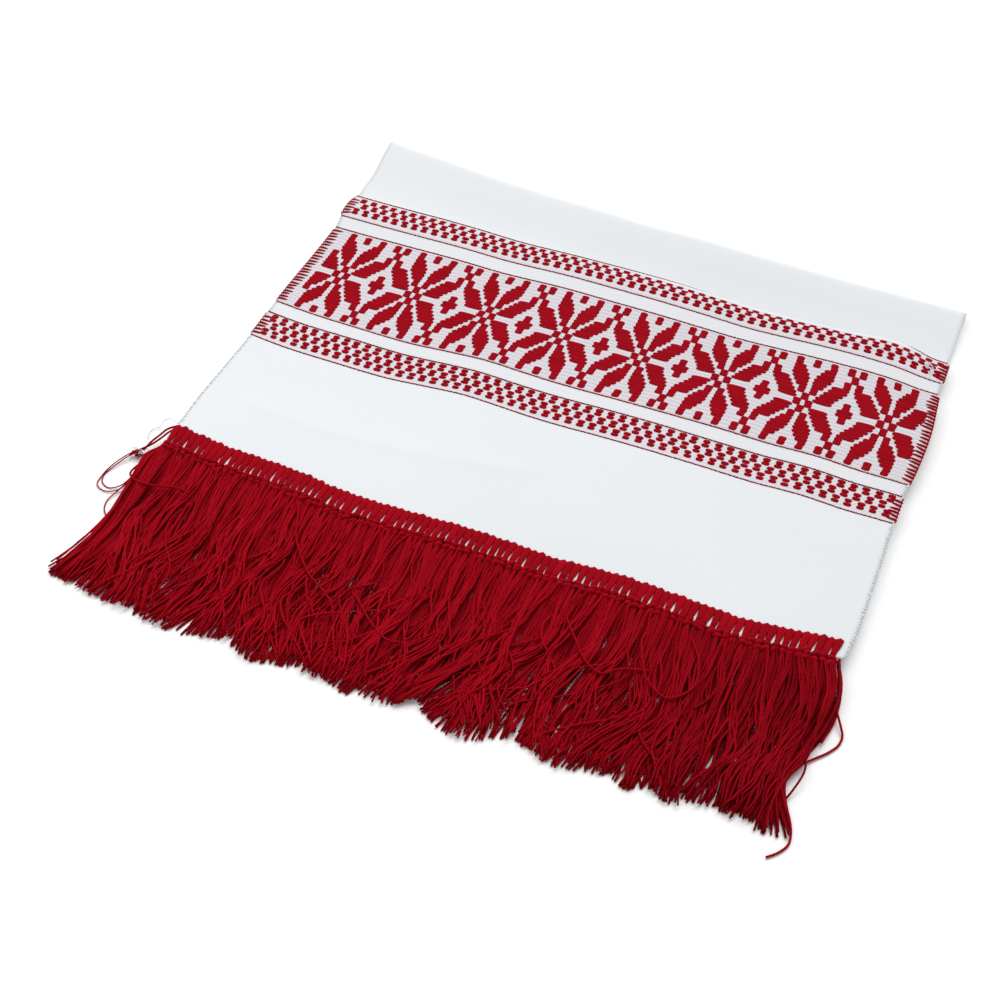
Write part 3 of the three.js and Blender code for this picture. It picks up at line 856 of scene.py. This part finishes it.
STAR_BARS = 26
BORDER_BARS = 6
BORDER_BAR_PITCH = 2.5
FIRST_BORDER_BAR = 2.6
star_bar_s = STAR_MIDDLE + (np.arange(STAR_BARS) - (STAR_BARS - 1) / 2) * FLOAT_PITCH
border_bar_s = FIRST_BORDER_BAR + np.arange(BORDER_BARS) * BORDER_BAR_PITCH
bar_s = np.concatenate([star_bar_s, LOW_BOTTOM + border_bar_s, UP_BOTTOM + border_bar_s])
count = len(bar_s)
bars = [edge_turns(bar_s + chance.normal(0, 0.15, count), side, chance.normal(4.8, 0.45, count), radius=0.68,
                   sides=7, sweep=0.9 + chance.normal(0, 0.35, count), proud=0.8) for side in (-1, 1)]
bands = ((STAR_BOTTOM, STAR_TOP), (LOW_BOTTOM, LOW_TOP), (UP_BOTTOM, UP_TOP))
cords = [edge_cord(low + 1, high - 1, side, radius=0.42) for side in (-1, 1) for low, high in bands]
selvedge_bars = piece("selvedge_bars", several(*bars, *cords), brocade_red, "cloth")

WHITE_PITCH = 1.9
plain_stretches = ((-10.5, LOW_BOTTOM - 0.5), (LOW_TOP + 1.2, STAR_BOTTOM), (STAR_TOP + 1.2, UP_BOTTOM))
white_s = np.concatenate([np.arange(low, high, WHITE_PITCH) for low, high in plain_stretches])
count = len(white_s)
turns = [edge_turns(white_s + chance.normal(0, 0.3, count), side, chance.normal(1.2, 0.3, count), radius=0.26,
                    sides=6, sweep=chance.normal(0.3, 0.3, count), proud=0.9) for side in (-1, 1)]
white_turns = piece("white_turns", several(*turns), white_cotton, "cloth")

# %% [markdown]
# The fringe hangs from the hem in bunches. Each bunch is three red yarns pulled through the cloth and laid
# side by side over the hem, then drawn together in a knot below it, so each wrap is widest at its rounded
# upper end and white cloth shows in small wedges between the wraps lower down.

# %% The heading of wrapped yarns
WRAPS = 95
WRAP_YARNS = 3
WRAP_LANES = np.tile(np.arange(WRAP_YARNS) - 1.0, WRAPS)
WRAP_DOWN = np.array([1.1, 0.85, 0.1, -1.2, -3.4, -5.8, -7.8, -9.4, -10.6, -11.5])
WRAP_HIGH = np.array([-0.9, 0.0, 0.62, 0.78, 0.74, 0.68, 0.62, 0.6, 0.3, -0.5])
WRAP_THICK = np.array([1.0, 1.0, 1.0, 1.0, 0.98, 0.94, 0.88, 0.84, 0.82, 0.8])
WRAP_RADIUS = 0.9
WRAP_GATHERS = (1.5, 10.0)
HEADING_LEFT = -176.6
HEADING_RIGHT = 172.6
WRAP_PITCH = (HEADING_RIGHT - HEADING_LEFT) / WRAPS
wrap_x = HEADING_LEFT + (np.arange(WRAPS) + 0.5) * WRAP_PITCH
wrap_low_x = wrap_x + chance.normal(0, 0.28, WRAPS)
wrap_wide = np.clip(chance.normal(0.98, 0.05, WRAPS), 0.85, 1.06)
wrap_low_wide = np.clip(chance.normal(0.79, 0.13, WRAPS), 0.58, 1.02)


def each_yarn(values):
    """One value for each wrap, given to every yarn of that wrap."""
    return np.repeat(values, WRAP_YARNS)


def wrap_paths():
    """Each yarn starts inside the cloth at the hem's line, runs down over the hem and dips round its edge.
    Its distance from the wrap's middle shrinks on the way to the knot."""
    share = ease(-WRAP_DOWN, *WRAP_GATHERS)
    middle_yarn = WRAP_LANES == 0
    top_x = each_yarn(wrap_x) + WRAP_LANES * each_yarn(wrap_wide)
    low_x = each_yarn(wrap_low_x) + WRAP_LANES * each_yarn(wrap_low_wide)
    x = top_x[:, None] * (1 - share) + low_x[:, None] * share
    rounded = np.where(middle_yarn, 0.15, -0.25) + each_yarn(chance.normal(0, 0.3, WRAPS))
    s = WRAP_DOWN[None, :] + rounded[:, None] * (1 - share)[None, :]
    h = WRAP_HIGH[None, :] + np.where(middle_yarn, 0.18, -0.1)[:, None]
    inside = np.clip(x, -HALF_WIDTH, HALF_WIDTH)
    beside = np.stack([x - inside, 0 * x, 0 * x], axis=-1)
    return on_cloth(inside, s, h) + beside


wraps = yarns(wrap_paths(), WRAP_RADIUS * WRAP_THICK[None, :], sides=10, squash=YARN_SQUASH)
wrap_tone = each_yarn(chance.uniform(0.4, 0.9, WRAPS)) + chance.normal(0, 0.05, WRAP_YARNS * WRAPS)
heading = piece("heading_wraps", wraps, fringe_red, "fringe", wrap_tone)

# %% [markdown]
# The knots lie in two uneven rows just below the hem's edge. Each bunch is bound twice by a loop of its own
# yarn that rises slantwise over it and ends behind the next, so from the front the rows read as thick beads.

# %% The row of knots
KNOT_LINE = 12.1
KNOT_STEP = 2.2
KNOT_REACH = 1.65
KNOT_RISE = 1.7
KNOT_HIGH = 6.0
KNOT_DROP = 0.45
KNOT_THICK = np.array([0.6, 0.95, 1.2, 1.34, 1.38, 1.34, 1.2, 0.95, 0.6])


def knot_paths(lane):
    """Short arcs over each bunch: a cosine from left to right for the rise, and a slant along the hem. lane
    is 0 for the row at the hem and 1 for the row in front of it, which lies a little lower."""
    turn = np.linspace(-1.25, 1.25, len(KNOT_THICK))
    x = wrap_low_x[:, None] + (KNOT_REACH + chance.normal(0, 0.25, WRAPS))[:, None] * np.sin(turn)[None, :]
    rise = (KNOT_RISE + chance.normal(0, 0.25, WRAPS))[:, None] * (np.cos(turn)[None, :] - 0.55)
    tilt = chance.normal(0.9, 0.6, WRAPS)[:, None] * np.sin(turn)[None, :]
    line = hem_line(x) + edge_gain(x) - KNOT_LINE - lane * KNOT_STEP
    y = line + tilt + chance.normal(0, 0.35, WRAPS)[:, None]
    z = KNOT_HIGH - lane * KNOT_DROP + rise + chance.normal(0, 0.2, WRAPS)[:, None]
    return np.stack([x, y, z], axis=-1)


knot_rows = [yarns(knot_paths(lane), KNOT_THICK, sides=8) for lane in (0.0, 1.0)]
knot_tone = chance.uniform(0.3, 0.85, 2 * WRAPS)
knots = piece("knot_row", several(*knot_rows), fringe_red, "fringe", knot_tone)

# %% [markdown]
# Below the knots hang hundreds of strands of two-ply yarn. They drop over the edge of the folded pile and
# lie on the table, combed mostly towards the front, but they bunch into locks that sweep and cross, with
# deep shadow between them. The sweep is read from sixteen strands listed across the fringe; every
# other strand takes its course from its two neighbours in that table. A second table says how far the tips
# reach.

# %% The picked strands
SWEEP = [
    [(-180.9, -17), (-180, -47), (-177.1, -63), (-178.3, -86), (-184.5, -101)],
    [(-150, -21), (-147.3, -55), (-146.6, -88), (-147.5, -109)],
    [(-115.9, -21), (-113.1, -61), (-111.1, -93), (-116.8, -110)],
    [(-81.1, -24), (-80.8, -61), (-79.6, -92), (-76.5, -112)],
    [(-48.7, -24), (-47.1, -60), (-46.7, -91), (-47.5, -109)],
    [(-18.2, -22), (-18.3, -60), (-16.9, -84), (-23.8, -111)],
    [(3, -23), (3.3, -58), (2.1, -82), (2.4, -112)],
    [(28.3, -22), (26.7, -54), (25.4, -84), (13.2, -101)],
    [(44.6, -25), (39.7, -61), (27.7, -90), (29.6, -113)],
    [(64.9, -26), (62.6, -57), (58.4, -82), (59.3, -107)],
    [(83.9, -24), (85.2, -54), (82.6, -84), (77.2, -111)],
    [(107.8, -24), (109.5, -55), (110.4, -83), (109.4, -110)],
    [(130.5, -20), (131.9, -46), (130.3, -75), (129.4, -108)],
    [(148.3, -17), (153.9, -42), (151.8, -71), (148.5, -104)],
    [(163.7, -14), (171.7, -40), (167.2, -70), (161.9, -113)],
    [(174.9, -13), (182, -36), (178.3, -55), (169.5, -80), (172, -94), (180.2, -105)],
]
TIP_REACH = np.array([
    (-186, -104), (-170, -105), (-154, -107.5), (-138, -108), (-122, -110), (-106, -109), (-90, -107),
    (-82, -106), (-74, -110.5), (-60, -108), (-42, -107), (-26, -110), (-10, -109.5), (0, -108), (6, -102),
    (12, -105), (30, -112), (38, -111), (46, -108), (62, -106), (74, -111), (86, -110), (94, -107),
    (102, -105), (109, -108.5), (118, -104), (126, -107), (142, -104), (150, -104), (160, -106),
    (174, -106), (182, -104),
])
SHARES = np.linspace(0, 1, 6)


def sweep_table():
    """For each picked strand, its place across at six even shares of the way from root to tip."""
    rows = []
    for line in SWEEP:
        line = np.array(line, float)
        way = (line[0, 1] - line[:, 1]) / (line[0, 1] - line[-1, 1])
        rows.append(np.interp(SHARES, way, line[:, 0]))
    return np.array(rows)


SWEPT = sweep_table()
print(len(SWEPT), "picked strands")

# %% [markdown]
# A strand's course is worked out in three parts, one for each axis. Across the cloth it follows the sweep,
# its lock and slow waves of its own. Towards the front it goes in even steps to the line of the tips. In
# height it falls from the edge of the pile, lies on the strands below it and droops at the tip.

# %% How the strands run
STEPS = 33
STRAND_SIDES = 6
YARN_RADIUS = 0.54
FRINGE_LEFT = -181.5
FRINGE_RIGHT = 174.5
ROOT_LINE = 11.8
ROOT_HIGH = 5.1
TIP_WAVE = 2.9
FALL = np.array([(0, 1), (7, 0.9), (20, 0.34), (33, 0.03), (62, 0)])


def swept_x(root_x, t):
    """The picked strands' course at root_x: straight shares between neighbours, smooth along the way."""
    neighbours = np.stack([np.interp(root_x, SWEPT[:, 0], SWEPT[:, k]) for k in range(len(SHARES))], axis=-1)
    moved = neighbours - neighbours[:, :1]
    return root_x[:, None] + np.stack([through(t, SHARES, row) for row in moved])


def slow_waves(count, t, waves):
    """Sums of two slow sines with random phases, one row per strand or lock."""
    phase = chance.uniform(0, 2 * math.pi, (count, 2, 1))
    pace = chance.uniform(0.7, 1.3, (count, 2, 1)) * waves
    each = np.sin(phase + pace * 2 * math.pi * t[None, None, :] * np.array([1.0, 1.9])[None, :, None])
    return 0.65 * each[:, 0] + 0.35 * each[:, 1]


def cut_into_locks(root, lock_size):
    """Locks of uneven size, from half lock_size to twice it: the lock of each strand, and their middles."""
    sizes = chance.integers(max(2, lock_size // 2), lock_size * 2, len(root))
    lock = np.searchsorted(np.cumsum(sizes), np.arange(len(root)), side="right")
    locks = lock.max() + 1
    return lock, np.bincount(lock, root, locks) / np.maximum(np.bincount(lock, minlength=locks), 1)


def strands_across(root, start_x, lock, lock_middle, t, loose, gather, wild):
    """x along each strand: its swept course, drawn towards the lock's middle in the middle of the way, with
    slow waves that grow towards the tip. The root is gathered towards the wrap above it."""
    count = len(root)
    locks = len(lock_middle)
    ramp = ease(t, 0.04, 0.75)
    pinch = np.sin(math.pi * np.clip(t * 1.05, 0, 1)) ** 0.8
    grip = gather * chance.uniform(0.4, 1.1, locks)[lock][:, None] * pinch
    stray = (chance.uniform(0, 1, count) < wild) * chance.normal(0, 1.0, count)
    drift = (slow_waves(locks, t, 0.75)[lock] + 0.35 * slow_waves(count, t, 1.3)) * loose * ramp
    drift = drift + stray[:, None] * loose * 1.5 * slow_waves(count, t, 0.8) * ramp
    crimp = slow_waves(count, t, 4.2) * 0.35 + chance.normal(0, 1.6, (count, 1)) * ease(t, 0.82, 1.0)
    tamed = 1 - 0.75 * ease(np.abs(root), 160, 176)
    x = swept_x(root, t) + (start_x - root)[:, None] * (1 - ease(t, 0, 0.14))
    x = x - (root - lock_middle[lock])[:, None] * grip + (drift + crimp) * tamed[:, None]
    bunch = HEADING_LEFT + (np.floor((start_x - HEADING_LEFT) / WRAP_PITCH) + 0.5) * WRAP_PITCH
    return x - min(0.5, 1.3 * gather) * (start_x - bunch)[:, None] * (1 - ease(t, 0.02, 0.13))


def strands_along(x, start_x, lock, t, shorter):
    """y along each strand, in even steps from its start below the hem to the line of the tips, which each
    lock misses by a slow wave and each strand by an exponential chance."""
    start = hem_line(start_x) + edge_gain(start_x) - ROOT_LINE - chance.uniform(0, 1.4, len(x))
    reach = read(TIP_REACH, x[:, -1]) - 0.6 + shorter * chance.exponential(1.0, len(x))
    reach = reach + TIP_WAVE * slow_waves(lock.max() + 1, t, 1.0)[lock, 0]
    return start[:, None] + (reach - start)[:, None] * t[None, :]


def strands_above(y, lock, t, level):
    """z along each strand: it falls from the pile's edge to about its level, swells a little, and droops at
    the tip. FALL gives the share of the drop that is left at a distance from the start."""
    count = len(y)
    fallen = read(FALL, np.abs(y - y[:, :1]))
    swell = 0.4 * slow_waves(lock.max() + 1, t, 0.9)[lock] + 0.2 * slow_waves(count, t, 1.7)
    droop = chance.uniform(0.15, 0.8, count)[:, None] * ease(t, 0.8, 1.0)[None, :]
    pile = level * (1 + swell) * (1 - droop)
    high = ROOT_HIGH + 0.3 * level + chance.normal(0, 0.35, count)
    return YARN_RADIUS + pile + (high[:, None] - YARN_RADIUS - pile) * fallen


def strand_paths(count, level, loose, lock_size, gather, shorter, wild):
    """Paths of shape (count, STEPS, 3). level is the height above the table, loose the sideways wander,
    lock_size the strands in a lock, gather how far a lock draws together, shorter the uneven tips and wild
    the share of strands that stray from their lock. t is the share of the way from root to tip."""
    t = np.linspace(0, 1, STEPS)
    root = np.linspace(FRINGE_LEFT, FRINGE_RIGHT, count) + chance.normal(0, 0.3, count)
    start_x = np.clip(root, HEADING_LEFT + 0.4, HEADING_RIGHT + 1.2)
    lock, lock_middle = cut_into_locks(root, lock_size)
    x = strands_across(root, start_x, lock, lock_middle, t, loose, gather, wild)
    y = strands_along(x, start_x, lock, t, shorter)
    return np.stack([x, y, strands_above(y, lock, t, level)], axis=-1)


# %% [markdown]
# Three sets are laid on one another: an even one on the table, one above it, and the locks that lie on top.
# The lowest set is the thickest and has the darkest tones, painted shade under the sets above it, so that
# hardly any pale table shows through the fringe.

# %% The three sets of strands
PAINTED_SHADE_RIGHT = 0.45


def strand_piece(name, paths, low, high, thick=1.0):
    """One piece of strands: the yarn thins a little at its cut end, and each strand has its own random tone,
    with painted shade that makes it darker towards the right end of the fringe."""
    thin = 1 - 0.25 * ease(np.linspace(0, 1, STEPS), 0.9, 1.0)
    radius = thick * YARN_RADIUS * chance.normal(1.0, 0.08, (len(paths), 1)) * thin[None, :]
    paths[:, :, 2] = np.maximum(paths[:, :, 2], radius)
    surfaces = yarns(paths, radius, STRAND_SIDES)
    # Painted shade: the tone is lowered towards the right end of the fringe.
    tone = chance.uniform(low, high, len(paths)) - PAINTED_SHADE_RIGHT * ease(paths[:, -1, 0], 40, 160)
    return piece(name, surfaces, fringe_red, "fringe", tone)


# The tone ranges rise from the lowest set to the top one: painted shade in the depth of the fringe.
lower = strand_paths(440, level=0.4, loose=1.2, lock_size=6, gather=0.0, shorter=1.0, wild=0.0)
fringe_lower = strand_piece("fringe_lower", lower, low=0.0, high=0.3, thick=1.2)
between = strand_paths(400, level=2.2, loose=4.5, lock_size=9, gather=0.4, shorter=2.2, wild=0.15)
fringe_middle = strand_piece("fringe_middle", between, low=0.05, high=0.55)
upper = strand_paths(390, level=4.2, loose=7.0, lock_size=9, gather=0.78, shorter=4.0, wild=0.2)
fringe_upper = strand_piece("fringe_upper", upper, low=0.2, high=0.95)

# %% [markdown]
# Some yarns have come away from the rest: two run down beside the left end of the hem and curl into thin
# loops on the table, a few cross the fringe in wide bends, and the last bunch on the right swings out and
# back. Each is drawn as a short table of points and smoothed, then made by the same yarn function.
# Small tangles hang on the left end, and one white thread stands up in a loop from the upper border. The
# points of that loop are places on the cloth and heights above it.

# %% Loose yarns
def drawn(points, steps=44):
    """A smooth path through given points, spaced by the length between them."""
    points = np.array(points, float)
    way = np.concatenate([[0], np.cumsum(np.linalg.norm(np.diff(points, axis=0), axis=1))])
    return through(np.linspace(0, way[-1], steps), way, points)


LOOSE_RED = [
    [(-176, 0.5, 7), (-179.6, -2.2, 6), (-181.6, -6.5, 5), (-183.8, -12.1, 4), (-185, -16.5, 3),
     (-188.7, -20, 1.6)],
    [(-175.6, -1.5, 7), (-177.8, -3.8, 6), (-180.1, -9, 5), (-183.1, -14.2, 4), (-186.9, -18.5, 3),
     (-190.6, -22, 1)],
    [(-180.2, -24, 4), (-180.2, -37.1, 5.5), (-176, -40, 6.5), (-168.6, -40.8, 7), (-162.9, -39.9, 7.2),
     (-153.2, -37.1, 7), (-146.2, -36.8, 6)],
    [(-96.4, -19.9, 6), (-92.4, -25.4, 7), (-84.9, -41.5, 7.2), (-70.4, -58.7, 7.2), (-47.5, -75.8, 6.5),
     (-44.7, -81.4, 5)],
    [(-46.6, -60.2, 5), (-40.4, -65.3, 6.8), (-25.8, -77.1, 7), (-15.9, -81.7, 6.8), (-9.9, -78.7, 5)],
    [(89, -30, 5), (89, -35.7, 6.5), (91.9, -43.6, 7.4), (100.5, -58.1, 7.8), (110.1, -62.9, 7.8),
     (118.8, -54.3, 7.8), (117.1, -38.7, 7.6), (108.5, -24.5, 6.2)],
    [(45, -25.9, 5), (61, -47.3, 7), (73.1, -59.5, 7.4), (78.6, -61.4, 7.4), (85.2, -56.1, 7.4),
     (98.3, -50.5, 6)],
    [(179, -34, 4), (181.8, -38.8, 3), (184.6, -43.5, 2), (186.3, -46.8, 1.2), (186.2, -52, 0.8),
     (183.6, -57.1, 0.8), (178.7, -63.2, 1), (173.8, -69.6, 1.8), (168, -80, 3)],
    [(172, -10.5, 6), (175.8, -15.2, 4.6), (178.6, -21.5, 3), (180.2, -29.8, 2), (181, -41.4, 1.6),
     (179, -54.8, 2)],
    [(170, -80, 3.5), (173.2, -89.9, 2.4), (177.9, -97.9, 1.4), (180, -103.1, 1), (180.6, -109.3, 0.8),
     (178.2, -114, 0.8), (174, -118.4, 0.8)],
]
LOOSE_THIN = [
    [(-184, -15, 3.5), (-190.6, -22.8, 2.5), (-194.6, -30.4, 1.2), (-195.9, -38.8, 0.8), (-194.8, -45.9, 0.7),
     (-189.8, -48.2, 0.7), (-183.2, -45.8, 1.2), (-180, -38, 3), (-178, -30, 4)],
    [(-184, -17, 3.5), (-189.9, -24, 2.5), (-193.4, -31.4, 1.2), (-195.4, -38.6, 0.5), (-193.7, -43.1, 0.5),
     (-188.4, -45.4, 0.5), (-183.8, -42.9, 1.2), (-180, -34, 3)],
    [(-180, -38, 3), (-182.6, -46.7, 1.5), (-184.3, -53.3, 0.8), (-182.5, -58.8, 0.6), (-178.5, -62.5, 0.8),
     (-172.4, -63.7, 2)],
]
loose_surfaces = several(yarns(np.array([drawn(line) for line in LOOSE_RED]), radius=0.55, sides=7),
                         yarns(np.array([drawn(line) for line in LOOSE_THIN]), radius=0.32, sides=7))
loose_yarns = piece("loose_yarns", loose_surfaces, fringe_red, "fringe")


def tangle(count, middle, spread, radius):
    """Short curled threads about one place: each is a turn and a half of a squashed ring, at random tilts."""
    turn = np.linspace(0, 3 * math.pi, 40)[None, :]
    wide = chance.uniform(0.5, 1.0, (count, 1)) * spread
    phase = chance.uniform(0, 2 * math.pi, (count, 1))
    lean = chance.uniform(0, math.pi, (count, 1))
    u = wide * np.cos(turn + phase) * (1 - 0.1 * turn / math.pi)
    v = 0.45 * wide * np.sin(turn * 1.15 + phase)
    x = middle[0] + chance.normal(0, spread * 0.55, (count, 1)) + u * np.cos(lean) - v * np.sin(lean)
    y = middle[1] + chance.normal(0, spread * 0.45, (count, 1)) + u * np.sin(lean) + v * np.cos(lean)
    z = middle[2] + 0.9 * np.sin(turn * 0.7 + phase) + chance.uniform(-0.5, 1.2, (count, 1))
    return yarns(np.stack([x, y, np.maximum(z, radius)], axis=-1), radius, sides=6)


red_curls = tangle(5, middle=(-186.5, -20.5, 2.4), spread=2.8, radius=0.26)
red_tangle = piece("red_tangle", red_curls, fringe_red, "fringe")
WHITE_TAIL = [(-176.5, 3, 6.2), (-184.3, 5.6, 4.5), (-186.9, 4.4, 2.4), (-187, 1.4, 1.4),
              (-189.9, -0.9, 0.8), (-190.2, -4.4, 0.6), (-188.7, -7.8, 0.6)]
WHITE_LOOP = [(170.1, 194.6, -0.2), (167.7, 197.4, 0.7), (165.5, 197.7, 1.1), (164.8, 195.3, 1.2),
              (166.5, 193.5, 1.1), (167.9, 194.8, 0.9), (169, 191.9, 0.6), (169, 188.2, -0.2)]
white_loop = on_cloth(*drawn(WHITE_LOOP, 40).T)
white_bits = several(tangle(4, middle=(-186.5, -19.5, 2.4), spread=2.8, radius=0.18),
                     yarns(drawn(WHITE_TAIL, 40)[None], radius=0.24, sides=6),
                     yarns(white_loop[None], radius=0.32, sides=6))
white_threads = piece("white_threads", white_bits, white_cotton, "fringe")

# %% [markdown]
# A plain pale table and soft studio light: the sky lights everything evenly, one broad sun from behind throws
# the soft shadows that lie in front of the fringe, and a lamp on the left makes that end brighter. The table
# is almost white, so it burns out just as the background of the photograph does.

# %% Table and light
bpy.ops.mesh.primitive_plane_add(size=8.0, location=(0, 0, 0))
table = bpy.context.object
table.name = "table"
table_finish, tree, shader = new_finish("pale table", 0.9, 0.0, 0.0)
shader.inputs["Base Color"].default_value = (0.96, 0.96, 0.96, 1.0)
table.data.materials.append(table_finish)
sky = bpy.data.worlds.new("studio")
sky.use_nodes = True
background = sky.node_tree.nodes["Background"]
background.inputs["Color"].default_value = (1.0, 1.0, 1.0, 1.0)
background.inputs["Strength"].default_value = 0.50
bpy.context.scene.world = sky
sun_data = bpy.data.lights.new("soft_sun", "SUN")
sun_data.energy = 1.92
sun_data.angle = math.radians(48)
aimed("soft_sun", sun_data, (0.0, 0.0, 0.0), (-0.05, -0.80, -1.0))
lamp_data = bpy.data.lights.new("left_lamp", "AREA")
lamp_data.energy = 1.7
lamp_data.size = 0.5
aimed("left_lamp", lamp_data, (-0.42, 0.0, 0.8), (0.35, 0.0, -1.0))
bpy.context.scene.view_settings.view_transform = "Standard"
bpy.context.scene.view_settings.look = "None"
print("sun", sun_data.energy, "and lamp", lamp_data.energy)

bpy.context.view_layer.update()
